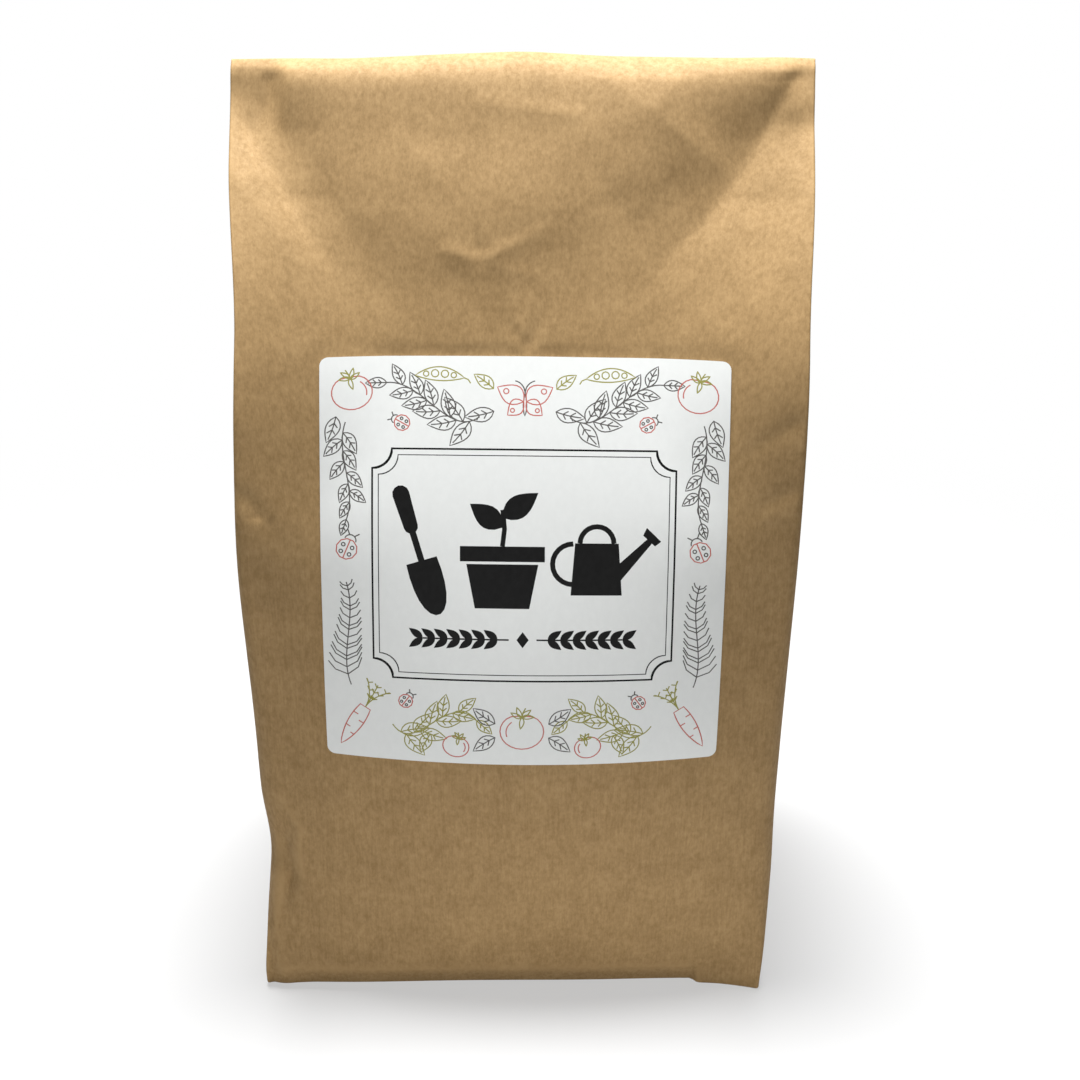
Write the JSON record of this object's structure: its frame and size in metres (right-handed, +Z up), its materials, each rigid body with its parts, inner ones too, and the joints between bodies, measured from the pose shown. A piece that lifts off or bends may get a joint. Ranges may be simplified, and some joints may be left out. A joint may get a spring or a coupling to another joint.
{
  "type": "potting mix bag",
  "caption": "Filled flat-bottomed kraft paper bag for potting compost, its top folded over to the back and its side gussets tucked in, with a paper label on the bulging front.",
  "frame": {"origin": "middle of the flat base, on the outer base flap", "axes": "+Z up along the standing bag, front panel and label towards -Y, +X to the viewer's right"},
  "size_m": [0.21, 0.1637, 0.3546],
  "materials": {
    "kraft_paper": "matte",
    "label_paper": "satin"
  },
  "bodies": {
    "root": {"kraft_bag": "kraft_paper", "front_label": "label_paper"}
  },
  "joints": []
}
